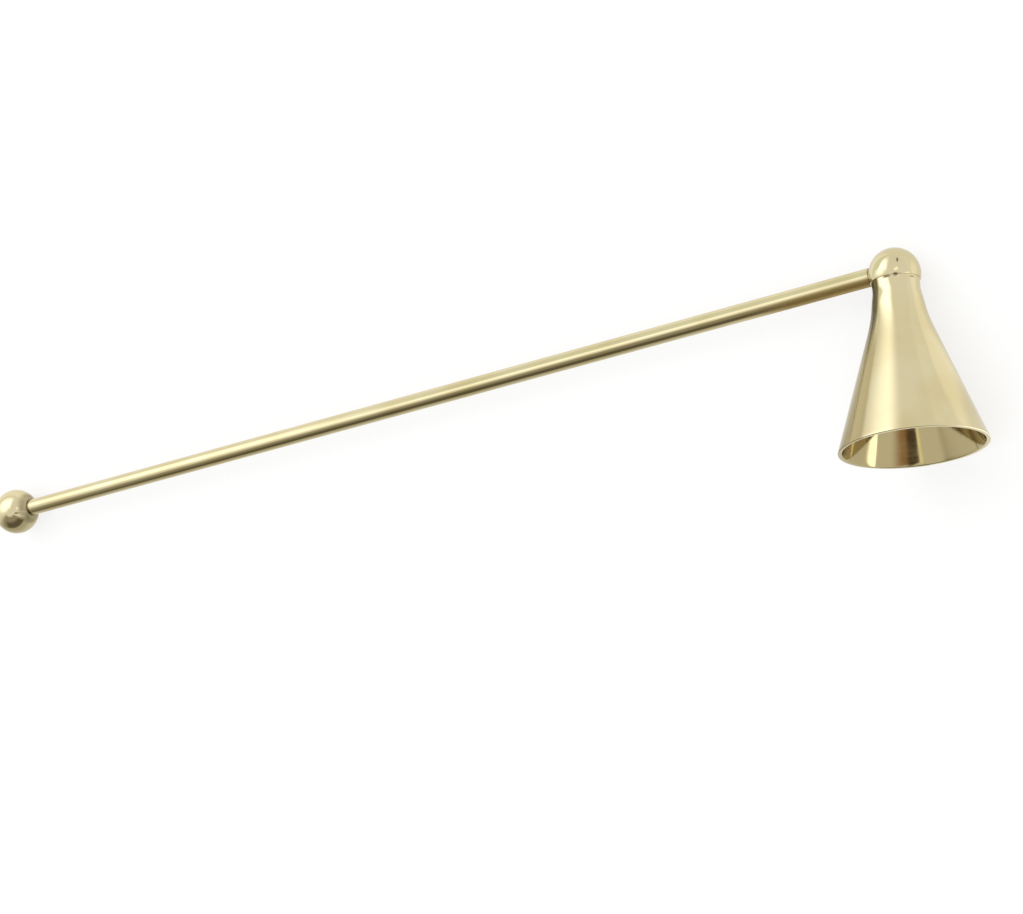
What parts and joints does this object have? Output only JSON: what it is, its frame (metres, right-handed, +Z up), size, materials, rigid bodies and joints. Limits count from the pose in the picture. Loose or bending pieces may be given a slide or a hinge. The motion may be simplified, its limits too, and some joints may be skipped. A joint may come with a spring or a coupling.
{
  "type": "candle snuffer",
  "caption": "Long-handled brass candle snuffer: flared bell under a ball, with a straight round rod from its side to an equal end ball.",
  "frame": {"origin": "on the floor, under the middle of the snuffer's box as it lies at rest", "axes": "+X along the handle rod towards the bell, +Z up, the bell's mouth towards -Y and leaning a little up"},
  "size_m": [0.318, 0.055, 0.0358],
  "materials": {
    "polished_brass": "polished",
    "screw_brass": "satin",
    "spring_steel": "satin"
  },
  "bodies": {
    "root": {"handle_rod": "polished_brass", "end_ball": "polished_brass", "head_ball": "polished_brass", "bell": "polished_brass", "bell_screw": "screw_brass", "lock_washer": "spring_steel"}
  },
  "joints": []
}
